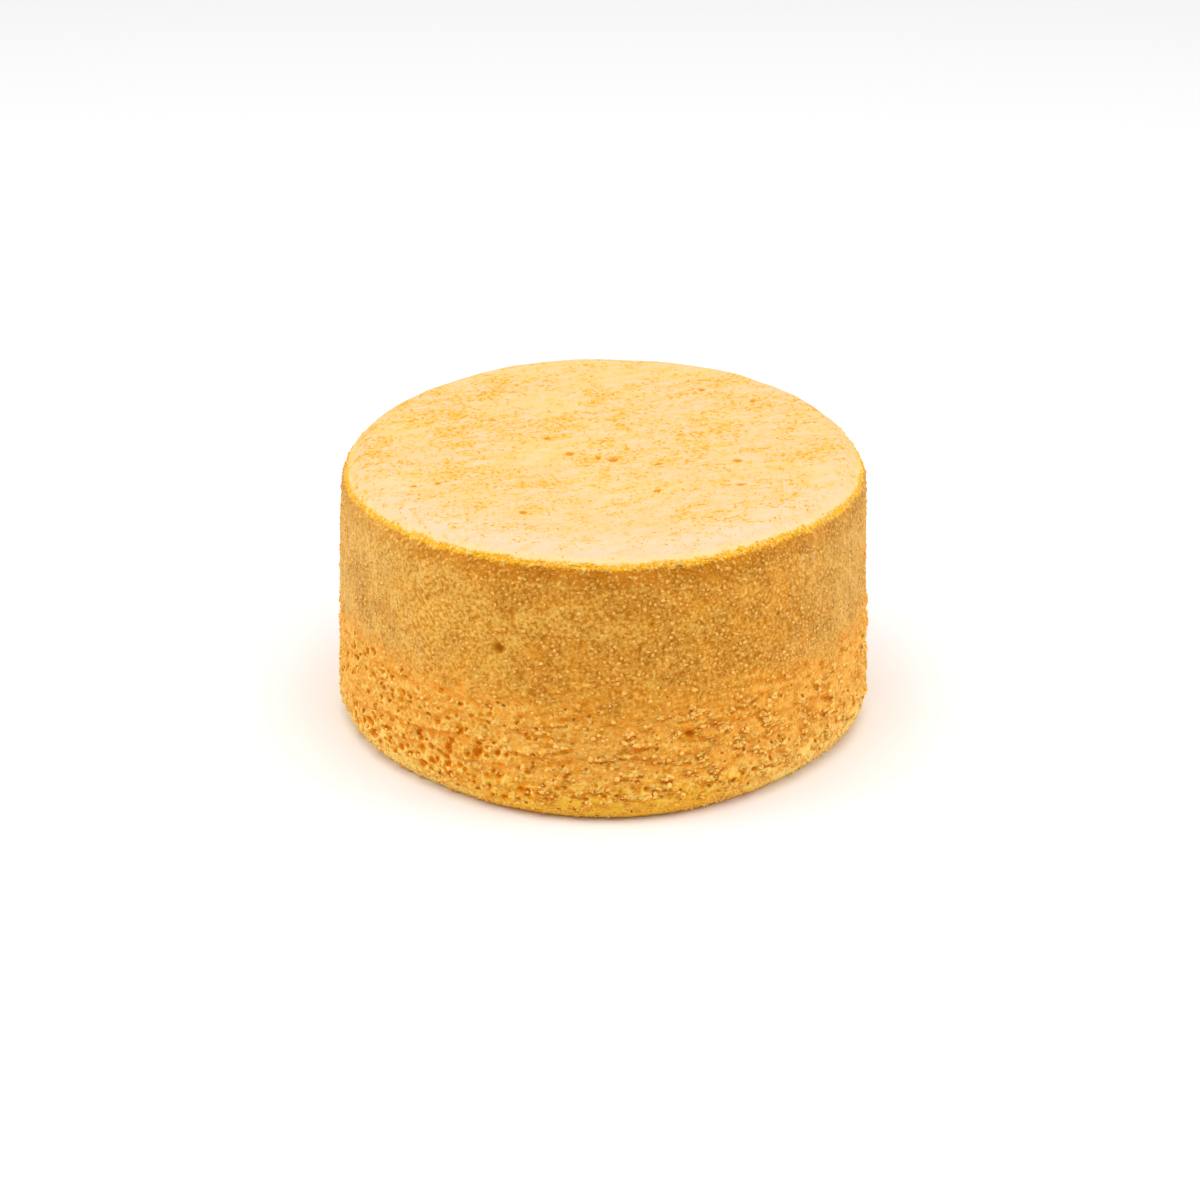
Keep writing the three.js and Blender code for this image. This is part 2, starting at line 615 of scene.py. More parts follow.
class CrustPattern:
    """Reads the crust's zones, grain, holes and crumbs at one place of a node graph.

    The nodes of a property are made once, when it is first asked for.
    """

    def __init__(
        self,
        graph: Graph,
        place: Field,
        run: Field,
        cake: CakeSizes,
        crumb: CrumbSizes,
        zone: Optional[ZoneShares] = None,
    ) -> None:
        """Keeps what the patterns are read with.

        Args:
            graph: the graph that the nodes go into.
            place: the place on the body before any fine relief, in millimetres.
            run: how far it is from the underside's edge along the section, in millimetres.
            cake: the cake's sizes.
            crumb: the crumb's sizes.
            zone: the zones' shares where the mesh already has them.
        """
        self.graph = graph
        self.run = run
        self.cake = cake
        self.crumb = crumb
        self.x, self.y, self.z = graph.split(place)
        step = (11.3 * crumb.seed, 5.7 * crumb.seed, 3.1 * crumb.seed)
        self.point = graph.vector("ADD", place, step)
        self.zone = zone or self.zones()

    def noise(self, layer: Layer, point: Optional[Field] = None) -> Field:
        """Reads a soft random pattern, about 0 and mostly from -1 to 1."""
        return (self.graph.noise(point or self.point, layer) - 0.5) * 4.0

    def higher(self, rise: float) -> Field:
        """The point that lies a little higher."""
        return self.graph.vector("ADD", self.point, (0.0, 0.0, rise))

    def spots(self, kind: Spots, keep: Number) -> tuple[Field, Field]:
        """Reads holes of one kind.

        Args:
            kind: how they are spread.
            keep: how large they are let to be, from 0 to 1.

        Returns:
            1 in the middle of a hole and 0 outside, and 1 on the lip below it.
        """
        graph = self.graph
        near, chance = graph.cells(self.point, kind.spacing, kind.offset)
        far, _ = graph.cells(self.higher(self.crumb.lip_drop), kind.spacing, kind.offset)
        size = graph.ease(chance, 1.0 - kind.share, 1.0, Easing.STRAIGHT)
        present = graph.math("GREATER_THAN", chance, 1.0 - kind.share)
        size = (size * (0.55 * kind.widest) + present * (0.45 * kind.widest)) * keep
        inside = graph.ease(near + self.warp, size, size * 0.2 - 0.03)
        lip = graph.ease(far + self.warp, size + self.crumb.lip_width, size)
        return inside, lip * graph.ease(size, 0.15, 0.35) * (1.0 - inside)

    @cached_property
    def warp(self) -> Field:
        """Small shifts that make the holes' outlines uneven, as a share of their spacing."""
        return self.noise(self.crumb.warp) * self.crumb.warp_share

    @cached_property
    def shreds(self) -> Field:
        """Narrow unevenness of the zones' bounds, in millimetres."""
        return self.noise(self.crumb.shreds) * self.crumb.shred_reach

    @cached_property
    def patches(self) -> Field:
        """Wide unevenness of the zones' bounds, in millimetres."""
        return self.noise(self.crumb.patches) * self.crumb.patch_reach

    @cached_property
    def across(self) -> Field:
        """How far round to the left or right a place is, from -1 to 1."""
        reach = self.graph.length(self.graph.join(self.x, self.y, 0.0))
        return self.x / self.graph.most(reach, 1.0)

    @cached_property
    def above_rim(self) -> Field:
        """How far past the rim's crumbly line a place is along the section, in millimetres.

        The line is on the middle of the rounded rim at the front and back, and low on it at the sides.
        """
        line = self.cake.rim_start + self.cake.rim_run * (0.44 - 0.14 * self.across**6.0)
        return self.run - line + self.noise(self.crumb.rim_wander) * self.crumb.rim_wander_depth

    @cached_property
    def top(self) -> Field:
        """1 on the pale top, from the rim's crumbly line inwards."""
        return self.graph.ease(self.above_rim, -0.4, 1.6)

    @cached_property
    def rim(self) -> Field:
        """1 on the orange, crumbly line along the rim."""
        band = self.crumb.rim_band
        return self.graph.ease(self.graph.math("ABSOLUTE", self.above_rim), 1.6 * band, 0.5 * band)

    @cached_property
    def under_rim(self) -> Field:
        """1 on the darker, browner band just below the rim's line."""
        start = -self.crumb.under_rim_reach
        return self.graph.ease(self.above_rim + self.shreds, start, 0.2 * start)

    @cached_property
    def left(self) -> Field:
        """1 round to the left, where the holes are round, and 0 at the right, where they are drawn out."""
        return self.graph.ease(self.x, 0.15 * self.cake.radius, -0.5 * self.cake.radius)

    @cached_property
    def sides(self) -> Field:
        """1 far round to the left and right, where painted sheen makes the crust paler."""
        return self.graph.ease(self.graph.math("ABSOLUTE", self.across), 0.35, 0.98)

    @cached_property
    def side(self) -> Field:
        """1 on the side, off the top and the underside."""
        return (1.0 - self.top) * self.graph.ease(self.z, 0.3, 1.2)

    @cached_property
    def low(self) -> Field:
        """1 on the belt and the foot."""
        return self.graph.most(self.zone.belt, self.zone.foot)

    def zones(self) -> ZoneShares:
        """Works out the zones' shares.

        Returns:
            The belt, the foot, the smooth patches of the side and the toast of the top.
        """
        ease = self.graph.ease
        belt_low = self.cake.belt_low
        belt_high = self.cake.belt_high
        rising = ease(self.z + self.shreds, belt_low - 5.0, belt_low + 3.0)
        falling = ease(self.z + self.patches + 1.5 * self.shreds, belt_high + 6.0, belt_high - 14.0)
        belt = rising * falling
        foot = ease(self.z + 0.6 * self.patches + self.shreds, 19.0, 9.0)
        smooth = self.noise(self.crumb.smooth) + 0.55 * (self.left - 0.5)
        patch = ease(smooth, -0.1, 0.5) * (1.0 - belt)
        back = ease(self.y, 0.95 * self.cake.radius, -0.2 * self.cake.radius)
        blotch = self.noise(self.crumb.blotches) + 0.4 * back
        toast = ease(blotch, -0.35, 0.5) * ease(self.above_rim, 3.5, 8.0)
        return ZoneShares(belt, foot, patch, toast)

    @cached_property
    def streaks(self) -> Field:
        """Long streaks of the top, which run to the right and a little to the back, about -1 to 1."""
        turn = math.radians(self.crumb.streak_turn)
        along = self.x * math.cos(turn) + self.y * math.sin(turn)
        across = self.y * math.cos(turn) - self.x * math.sin(turn)
        turned = self.graph.join(along / self.crumb.streak_draw, across, self.z)
        return self.noise(self.crumb.streaks, turned)

    @cached_property
    def coarse(self) -> Field:
        """Where the grain is coarse, from 0 to 1."""
        return self.graph.ease(self.noise(self.crumb.coarse), -0.6, 0.6)

    @cached_property
    def grain(self) -> Field:
        """Crumb that covers the side: rounded grains with creases between them, about -1 to 1."""
        near, _ = self.graph.cells(self.point, self.crumb.grain_size)
        return (0.45 - near) * 1.3 + self.noise(self.crumb.grain_fuzz) * 1.1

    @cached_property
    def pores(self) -> tuple[Field, Field]:
        """Small round holes, on the side and in the top's clusters."""
        beside = 0.75 * self.zone.belt + 0.55 * self.zone.foot + 0.2
        clusters = 0.6 * self.graph.ease(self.streaks + 0.5 * self.zone.toast, -0.1, 0.9)
        return self.spots(self.crumb.pores, self.graph.blend(self.top, beside, clusters))

    @cached_property
    def pits(self) -> tuple[Field, Field]:
        """Larger round holes of the belt, most at the left."""
        keep = self.zone.belt * self.graph.blend(self.left, 0.45, 1.0) + 0.4 * self.zone.foot
        return self.spots(self.crumb.pits, keep)

    def ragged_crust(self, point: Field) -> Field:
        """Where ragged crust stands out, wider than it is tall, from 0 to 1."""
        return self.graph.ease(self.noise(self.crumb.flakes, point), 0.0, 0.6)

    @cached_property
    def flakes(self) -> Field:
        """Raised crumbly crust, most of it in the belt at the right."""
        most = self.zone.belt * (1.0 - 0.45 * self.left) + 0.35 * self.zone.foot
        return self.ragged_crust(self.point) * most

    @cached_property
    def undercuts(self) -> Field:
        """The ragged level gaps just below the raised crust: real shallow recesses, coloured as painted
        shadow.
        """
        bare = self.graph.ease(self.ragged_crust(self.point), 0.95, 0.4)
        most = self.zone.belt * (1.0 - 0.5 * self.left) + 0.25 * self.zone.foot
        return self.ragged_crust(self.higher(self.crumb.undercut_drop)) * bare * most

    @cached_property
    def holes(self) -> Field:
        """How deep the round holes are at a place, in millimetres."""
        return self.graph.most(self.pits[0] * self.crumb.pit_depth, self.pores[0] * self.crumb.pore_depth)

    @cached_property
    def lips(self) -> Field:
        """1 on the raised lips of the side's holes, painted pale as a highlight."""
        lips = self.graph.most(self.pits[1], self.pores[1] * 0.6)
        return lips * self.graph.most(self.zone.belt, 0.6 * self.zone.foot)

    @property
    def loose_grains(self) -> Field:
        """How thickly the side's own grains lie, from 0 to 1."""
        bare = self.graph.most(0.85 * self.zone.belt, 0.9 * self.zone.foot)
        return self.side * (1.0 - bare) * (1.0 - 0.45 * self.zone.patch) * (0.55 + 0.45 * self.coarse)

    @property
    def loose_crumbs(self) -> Field:
        """How thickly larger crumbs lie on the belt and the foot, from 0 to 1."""
        edge = self.graph.ease(self.z, 10.0, 5.0) * 0.4
        return self.side * self.graph.most(self.flakes * (1.0 - 0.4 * self.left), edge)

    def height(self, fine: float, coarse: float) -> Field:
        """How far the crust stands out from the body.

        Args:
            fine: how much of the grain is in it, from 0 to 1.
            coarse: how much of the holes, crumbs and lumps, from 0 to 1.

        Returns:
            The height, in millimetres.
        """
        crumb = self.crumb
        zone = self.zone
        ripple = self.noise(crumb.ripple)
        depths = self.graph.most(self.holes, self.undercuts * crumb.undercut_depth)
        quiet = (1.0 - 0.65 * zone.foot - 0.5 * zone.belt) * (1.0 - 0.45 * zone.patch)
        grain = self.grain * quiet * (0.45 + 0.85 * self.coarse) * (crumb.grain_depth * fine)
        lumps = ripple * (0.4 + 0.6 * zone.belt) * (crumb.ripple_depth * coarse)
        raised = (self.flakes - 0.4 * zone.belt) * crumb.flake_depth + self.lips * crumb.lip_depth
        side = grain + lumps + (raised - depths) * coarse
        lumpy = self.noise(crumb.rim_lumps) * coarse + self.grain * fine
        rim = self.rim * lumpy * crumb.rim_lump_depth
        flat = ripple * (0.2 * crumb.ripple_depth * coarse) + self.grain * (0.1 * fine)
        return side * self.side + rim + (flat - 0.8 * coarse * depths) * self.top


@dataclass
class CakeBody:
    """The cake: a turned section with a soft rim and foot, slow unevenness, hollows and wrinkles.

    A row of side_holes is degrees to the right of the front, height, width and depth, and a row of
    top_holes is how far right and back of the middle the hole is, its width and its depth.
    """

    sizes: CakeSizes = CakeSizes()
    crumb: CrumbSizes = CrumbSizes()
    quarter_steps: int = 162
    rings: int = 108
    merge_distance: float = 0.02
    grain_share: float = 0.6
    crater_count: int = 130
    crater_width: float = 8.5
    crater_depth: float = 0.9
    crater_least: float = 0.6
    crater_sinking: float = 1.4
    side_waves: Sequence[SideWave] = (
        SideWave(0.2, 3, 1, 0.4),
        SideWave(0.16, 5, 2, 2.1),
        SideWave(0.12, 11, 3, 4.0),
    )
    rim_waves: Sequence[SideWave] = (
        SideWave(0.12, 19, 0, 0.9),
        SideWave(0.11, 31, 0, 3.3),
        SideWave(0.1, 43, 0, 5.2),
    )
    top_waves: Sequence[TopWave] = (
        TopWave(0.2, 83.0, 0.5),
        TopWave(0.15, 47.0, 1.9),
        TopWave(0.1, 29.0, 2.8),
    )
    wrinkles: Sequence[Wrinkle] = (
        Wrinkle(0.5, 8.6, 7, 1.6, 0.0, 5),
        Wrinkle(0.42, 6.2, 13, 1.2, 2.0, 11),
        Wrinkle(0.3, 5.1, 17, 1.4, 4.4, 15),
    )
    side_holes: Sequence[tuple[float, float, float, float]] = (
        (-22.5, 67.5, 4.4, 2.2),
        (10.3, 81.0, 2.6, 1.2),
        (0.6, 90.5, 1.8, 0.9),
        (-41.0, 84.5, 2.4, 1.1),
        (-50.4, 90.0, 2.2, 1.1),
        (-50.0, 58.0, 2.4, 1.2),
        (-45.5, 60.5, 1.8, 0.9),
        (-38.6, 55.5, 2.0, 1.0),
        (58.8, 67.0, 2.0, 1.0),
        (18.6, 34.2, 4.0, 1.5),
        (-43.6, 30.0, 4.0, 1.6),
        (-39.2, 24.5, 3.6, 1.5),
        (-34.9, 21.8, 3.6, 1.5),
        (-31.8, 29.5, 3.0, 1.3),
        (-27.5, 23.0, 4.2, 1.5),
        (-24.5, 10.0, 2.6, 1.1),
        (-21.0, 6.5, 2.4, 1.0),
    )
    top_holes: Sequence[tuple[float, float, float, float]] = (
        (-13.1, -2.9, 3.0, 0.9),
        (3.5, -8.5, 3.2, 1.0),
        (-2.2, -7.0, 2.0, 0.6),
        (20.9, -13.2, 2.0, 0.6),
        (20.5, -38.6, 2.0, 0.7),
        (51.0, -10.4, 2.6, 0.7),
        (51.9, -33.0, 2.2, 0.7),
        (38.3, 60.0, 2.4, 0.7),
        (57.7, 48.7, 2.2, 0.6),
        (-22.0, 12.1, 2.4, 0.7),
        (-30.5, -59.0, 2.6, 0.7),
        (-85.9, -1.0, 2.2, 0.8),
        (-72.0, -34.0, 2.4, 0.8),
        (-75.4, -39.5, 2.2, 0.8),
        (-63.0, -31.0, 2.4, 0.7),
    )
    hole_edge: Layer = Layer(1.6, 2.0, 3.0, 0.5)
    hole_edge_reach: float = 2.6

    @cached_property
    def graph(self) -> ShapeGraph:
        """The tree that the cake's nodes go into."""
        return ShapeGraph("cake_crust", self.sizes)

    def placed(
        self,
        mesh: bpy.types.NodeSocket,
        azimuth: Field,
        reach: Field,
        height: Number,
        run: Number,
    ) -> bpy.types.NodeSocket:
        """Moves a mesh's points to their places on the uneven cake.

        Args:
            mesh: the flat mesh to be moved.
            azimuth: each point's angle round the cake.
            reach: its distance from the axis on the plain section, in millimetres.
            height: its height on the plain section.
            run: how far along the section it is.

        Returns:
            The moved mesh, with the run stored on its points.
        """
        graph = self.graph
        size = graph.size
        share = height / size.height
        out_of_round = graph.cosine(4.0 * azimuth) - graph.cosine(2.0 * azimuth)
        plan = 1.0 + size.foot_spread * (1.0 - share) * out_of_round
        edge = graph.ease(reach, size.radius - 2.0 * size.rim_width, size.radius - 0.5 * size.rim_width)
        off_floor = graph.ease(height, 0.0, 0.5)
        moved = reach * plan + edge * off_floor * self.side_relief(azimuth, height)
        x = moved * graph.cosine(azimuth)
        y = moved * graph.sine(azimuth)
        z = height + share * share * self.top_relief(x, y)
        stored = graph.stored(mesh, Zone.RUN, run)
        return graph.moved(stored, graph.join(x * MM, y * MM, z * MM))

    def side_relief(self, azimuth: Field, height: Number) -> Field:
        """How far the side stands out by its slow waves, its lumpy rim and its level wrinkles.

        Args:
            azimuth: each point's angle round the cake.
            height: its height, in millimetres.

        Returns:
            The relief, in millimetres.
        """
        graph = self.graph
        size = graph.size
        total: Number = 0.0
        at_rim = graph.ease(height, size.side_top, size.side_top + 0.5 * size.rim_drop)
        for share, waves in ((1.0, self.side_waves), (at_rim, self.rim_waves)):
            for wave in waves:
                level = graph.cosine(wave.up * math.pi * height / size.height)
                turned = graph.sine(wave.round * azimuth + wave.start)
                total = share * turned * level * wave.depth + total
        rising = graph.ease(height, size.belt_low, size.belt_low + size.belt_fade)
        falling = graph.ease(height, size.belt_high, size.belt_high - size.belt_fade)
        for wrinkle in self.wrinkles:
            sway = wrinkle.sway * graph.sine(wrinkle.round * azimuth + wrinkle.start)
            ridges = graph.sine(height * (TURN / wrinkle.pitch) + sway)
            strength = 0.5 + 0.5 * graph.sine(wrinkle.stretches * azimuth + wrinkle.start)
            total = rising * falling * strength * ridges * wrinkle.depth + total
        return total

    def top_relief(self, x: Field, y: Field) -> Field:
        """How much higher than its plain section the top stands.

        Args:
            x: how far right of the axis, in millimetres.
            y: how far back of it.

        Returns:
            The relief, in millimetres.
        """
        size = self.graph.size
        total = (size.top_rise_right * x + size.top_rise_back * y) / size.radius
        for wave in self.top_waves:
            along = x * math.cos(wave.heading) + y * math.sin(wave.heading)
            total = total + wave.depth * self.graph.sine(along * (TURN / wave.length))
        return total

    def grid(self, size: float, across: int, up: int) -> bpy.types.NodeSocket:
        """A flat square grid, by its size and how many faces it has each way."""
        sides = {"Size X": size, "Size Y": size, "Vertices X": across + 1, "Vertices Y": up + 1}
        return self.graph.node("GeometryNodeMeshGrid", sides).outputs["Mesh"]

    def rounded(self, share: Field, fullness: Field) -> tuple[Field, ...]:
        """How far along and how far out a rounded edge is, by how far round and how full it is."""
        turns = (self.graph.sine(share * (TURN / 4.0)), self.graph.cosine(share * (TURN / 4.0)))
        return tuple(self.graph.most(turn, 0.0) ** (2.0 / fullness) for turn in turns)

    def side(self) -> bpy.types.NodeSocket:
        """Makes the side: a grid drawn round the foot, up and over the rim.

        Returns:
            The mesh, from the underside's edge to the flat top's.
        """
        graph = self.graph
        size = graph.size
        grid = self.grid(1.0, 4 * self.quarter_steps, self.rings)
        x, y, _ = graph.split(graph.position)
        azimuth = (x + 0.5) * TURN - TURN / 8.0
        share = y + 0.5
        foot_end = self.sizes.foot_run / self.sizes.whole_run
        rim_start = self.sizes.rim_start / self.sizes.whole_run
        foot, rise, rim = (
            graph.ease(share, start, end, Easing.STRAIGHT)
            for start, end in ((0.0, foot_end), (foot_end, rim_start), (rim_start, 1.0))
        )
        foot_along, foot_out = self.rounded(foot, size.foot_fullness)
        rim_along, rim_out = self.rounded(rim, size.rim_fullness)
        at_foot = size.radius - size.foot_width * (1.0 - foot_along)
        reach = at_foot - size.shoulder_taper * rise - size.rim_width * (1.0 - rim_out)
        straight = size.side_top - size.foot_rise
        height = size.foot_rise * (1.0 - foot_out) + straight * rise + size.rim_drop * rim_along
        return self.placed(grid, azimuth, reach, height, share * self.sizes.whole_run)

    def top(self) -> bpy.types.NodeSocket:
        """Makes the flat top: a square grid drawn out to a disc.

        Returns:
            The mesh, whose edge meets the side's last ring.
        """
        graph = self.graph
        size = graph.size
        grid = self.grid(2.0, self.quarter_steps, self.quarter_steps)
        a, b, _ = graph.split(graph.position)
        size_a = graph.math("ABSOLUTE", a)
        size_b = graph.math("ABSOLUTE", b)
        wide = graph.math("GREATER_THAN", size_a, size_b - 1e-6)
        by_a = b / a * (TURN / 8.0) + graph.math("LESS_THAN", a, 0.0) * (TURN / 2.0)
        by_b = TURN / 4.0 - a / b * (TURN / 8.0) + graph.math("LESS_THAN", b, 0.0) * (TURN / 2.0)
        azimuth = graph.blend(wide, by_b, by_a)
        reach = graph.most(size_a, size_b) * size.top_radius
        run = self.sizes.whole_run + size.top_radius - reach
        return self.placed(grid, azimuth, reach, size.height, run)

    def underside(self) -> bpy.types.NodeSocket:
        """Makes the flat underside.

        Returns:
            The mesh, facing down.
        """
        graph = self.graph
        size = graph.size
        inputs = {"Vertices": 4 * self.quarter_steps, "Radius": 1.0}
        disc = graph.node("GeometryNodeMeshCircle", inputs, fill_type="TRIANGLE_FAN")
        flipped = graph.shape("GeometryNodeFlipFaces", disc.outputs["Mesh"])
        x, y, _ = graph.split(graph.position)
        across = graph.length(graph.join(x, y, 0.0))
        reach = across * (size.radius - size.foot_width)
        return self.placed(flipped, graph.math("ARCTAN2", y, x), reach, 0.0 * across, 0.0)

    def relieved(self, mesh: bpy.types.NodeSocket) -> bpy.types.NodeSocket:
        """Gives the closed body its craters, crumb and holes, and stores each point's zones.

        Args:
            mesh: the closed body.

        Returns:
            The finished mesh.
        """
        graph = self.graph
        place = graph.scale(graph.position, 1.0 / MM)
        crust = CrustPattern(graph, place, graph.attribute(Zone.RUN), self.sizes, self.crumb)
        share, depth = self.single_holes(place)
        kept = {
            Zone.HOME: place,
            Zone.BELT: crust.zone.belt,
            Zone.FOOT: crust.zone.foot,
            Zone.PATCH: crust.zone.patch,
            Zone.TOAST: crust.zone.toast,
            Zone.RIM: crust.rim,
            Zone.HOLLOW: share,
            Zone.GRAINS: crust.loose_grains * (1.0 - share),
            Zone.CRUMBLE: crust.loose_crumbs * (1.0 - share),
        }
        for zone, value in kept.items():
            mesh = graph.stored(mesh, zone, value)
        out = crust.height(self.grain_share, 1.0) - depth - self.crater_depths(place)
        offset = graph.scale(graph.field("GeometryNodeInputNormal"), out * MM)
        return graph.moved(mesh, graph.inside(graph.vector("ADD", graph.position, offset)))

    def crater_depths(self, place: Field) -> Field:
        """How deep the belt's craters are at a place.

        They are spread round the belt by the golden angle, and their heights and sizes step by the
        plastic number's powers.

        Args:
            place: the place on the body, in millimetres.

        Returns:
            The depth, in millimetres.
        """
        graph = self.graph
        size = graph.size
        index = graph.field("GeometryNodeInputIndex")
        azimuth = index * GOLDEN_ANGLE
        lift = graph.math("FRACT", index / PLASTIC_NUMBER) ** self.crater_sinking
        grown = graph.math("FRACT", index / PLASTIC_NUMBER**2)
        x = size.radius * graph.cosine(azimuth)
        y = size.radius * graph.sine(azimuth)
        z = graph.blend(lift, size.belt_low, size.belt_high)
        inputs = {
            "Count": self.crater_count,
            "Position": graph.join(x, y, z),
            "Radius": 0.5 * self.crater_width * graph.blend(grown, self.crater_least, 1.0),
        }
        points = graph.node("GeometryNodePoints", inputs).outputs[0]
        nearest = graph.field("GeometryNodeSampleNearest", {0: points, "Sample Position": place})
        centre = graph.sampled(points, nearest, "GeometryNodeInputPosition", "FLOAT_VECTOR")
        radius = graph.sampled(points, nearest, "GeometryNodeInputRadius")
        share = graph.ease(graph.length(place, centre) / radius, 0.0, 1.0, Easing.STRAIGHT)
        return (1.0 - share * share) * radius * (2.0 * self.crater_depth / self.crater_width)

    def single_holes(self, place: Field) -> tuple[Field, Field]:
        """Works out the single holes of the side and the top.

        Args:
            place: the place on the body, in millimetres.

        Returns:
            How far inside a hole the place is, from 0 to 1, and how deep it is there.
        """
        graph = self.graph
        rough = (graph.noise(place, self.hole_edge) - 0.5) * self.hole_edge_reach
        mouths = []
        for right, height, width, depth in self.side_holes:
            azimuth = math.radians(right - 90.0)
            x = self.sizes.radius * math.cos(azimuth)
            y = self.sizes.radius * math.sin(azimuth)
            mouths.append(((x, y, height), width, depth))
        for right, back, width, depth in self.top_holes:
            mouths.append(((right, back, self.sizes.height), width, depth))
        shares = [
            graph.ease(graph.length(place, centre) + rough, 0.75 * width, 0.15 * width)
            for centre, width, _ in mouths
        ]
        depths = [share * depth for share, (_, _, depth) in zip(shares, mouths)]
        return graph.most(*shares), graph.most(*depths)

    def build(self, material: bpy.types.Material) -> bpy.types.Object:
        """Makes the cake.

        Args:
            material: the crust.

        Returns:
            The cake as a plain mesh, in place of its solid.
        """
        graph = self.graph
        joined = graph.node("GeometryNodeJoinGeometry")
        for part in (self.side(), self.top(), self.underside()):
            graph.feed(joined.inputs[0], part)
        distance = {"Distance": self.merge_distance * MM}
        merged = graph.shape("GeometryNodeMergeByDistance", joined.outputs[0], distance)
        graph.finish(self.relieved(merged), True, material)
        cake = graph.piece(bpy.data.meshes.new("start"))
        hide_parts("cake")
        return cake


@dataclass(frozen=True)
class LooseCrumbs:
    """One kind of crumb that lies half sunk in the crust, with sizes in millimetres.

    Density is the most of them in a square millimetre before those nearer than the spacing go.
    """

    name: str
    zone: Zone
    spacing: float
    density: float
    smallest: float
    largest: float
    flatness: float
    sinking: float
    roughness: float
    seed: int

    def random(self, graph: ShapeGraph, low: float, high: float, offset: int) -> Field:
        """A random number for each crumb, between two limits."""
        seed = {"Seed": 10 * self.seed + offset}
        return graph.in_use(graph.node("FunctionNodeRandomValue", seed, data_type="FLOAT"), (low, high))

    def strewn(self, graph: ShapeGraph) -> bpy.types.NodeSocket:
        """Strews the crumbs over the crust, pressed flat and sunk into it.

        Args:
            graph: the graph that the nodes go into.

        Returns:
            The crumbs as round balls.
        """
        size = graph.size
        inputs = {
            "Mesh": graph.base,
            "Distance Min": size.spacing * MM,
            "Density Max": size.density / MM**2,
            "Density Factor": graph.attribute(self.zone),
            "Seed": self.seed,
        }
        points = graph.node("GeometryNodeDistributePointsOnFaces", inputs, distribute_method="POISSON")
        marked = graph.stored(points.outputs[0], Zone.CHANCE, self.random(graph, 0.0, 1.0, 1))
        radius = graph.blend(self.random(graph, 0.0, 1.0, 2) ** 1.6, size.smallest, size.largest)
        long = radius * self.random(graph, 0.85, 1.3, 3)
        wide = radius * self.random(graph, 0.85, 1.3, 4)
        ball = graph.node("GeometryNodeMeshIcoSphere", {"Radius": 1.0, "Subdivisions": 1})
        inputs = {
            "Instance": ball.outputs["Mesh"],
            "Rotation": points.outputs["Rotation"],
            "Scale": graph.join(long * MM, wide * MM, radius * size.flatness * MM),
        }
        placed = graph.shape("GeometryNodeInstanceOnPoints", marked, inputs)
        sinking = {"Translation": graph.join(0.0, 0.0, size.sinking * -MM)}
        return graph.shape("GeometryNodeTranslateInstances", placed, sinking)

    def build(self, cake: bpy.types.Object, material: bpy.types.Material) -> bpy.types.Object:
        """Makes the crumbs.

        Args:
            cake: the finished crust that they lie on.
            material: the crumbs' own.

        Returns:
            All crumbs of this kind as one plain mesh, each roughened by noise.
        """
        graph = ShapeGraph(self.name, self)
        balls = graph.shape("GeometryNodeRealizeInstances", self.strewn(graph))
        inputs = {"Vector": graph.position, "Scale": 1.0 / MM, "Detail": 1.0}
        noise = graph.field("ShaderNodeTexNoise", inputs, "Color")
        centred = graph.vector("SUBTRACT", noise, (0.5, 0.5, 0.5))
        shift = graph.scale(centred, graph.size.roughness * MM)
        rough = graph.moved(balls, graph.inside(graph.vector("ADD", graph.position, shift)))
        graph.finish(rough, False, material)
        return graph.piece(cake.data)


LOOSE_CRUMBS = (
    LooseCrumbs("side_grains", Zone.GRAINS, 1.6, 0.8, 0.4, 0.85, 0.7, 0.2, 0.9, 3),
    LooseCrumbs("belt_crumbs", Zone.CRUMBLE, 1.2, 1.4, 0.5, 1.1, 0.7, 0.25, 1.0, 5),
    LooseCrumbs("rim_crumbs", Zone.RIM, 0.9, 1.6, 0.35, 0.65, 0.65, 0.3, 0.6, 8),
)


class PaintGraph(Graph):
    """Builds a material that follows a piece's own attributes."""

    def __init__(self, name: str) -> None:
        """Makes the material, with an empty tree.

        Args:
            name: its name.
        """
        self.material = bpy.data.materials.new(name)
        self.material.use_nodes = True
        self.material.node_tree.nodes.clear()
        super().__init__(self.material.node_tree)

    def attribute(self, zone: Zone) -> Field:
        """Reads one of the mesh's attributes."""
        output = "Vector" if zone is Zone.HOME else "Fac"
        return self.field("ShaderNodeAttribute", output=output, attribute_name=zone.value)

    def shade_facing_down(self) -> Field:
        """Painted shade, from 0 to 1: where the surface turns down, its colour is painted a deeper orange.
        """
        normal = self.field("ShaderNodeNewGeometry", output="Normal")
        return self.ease(self.split(normal)[2], 0.05, -0.6)


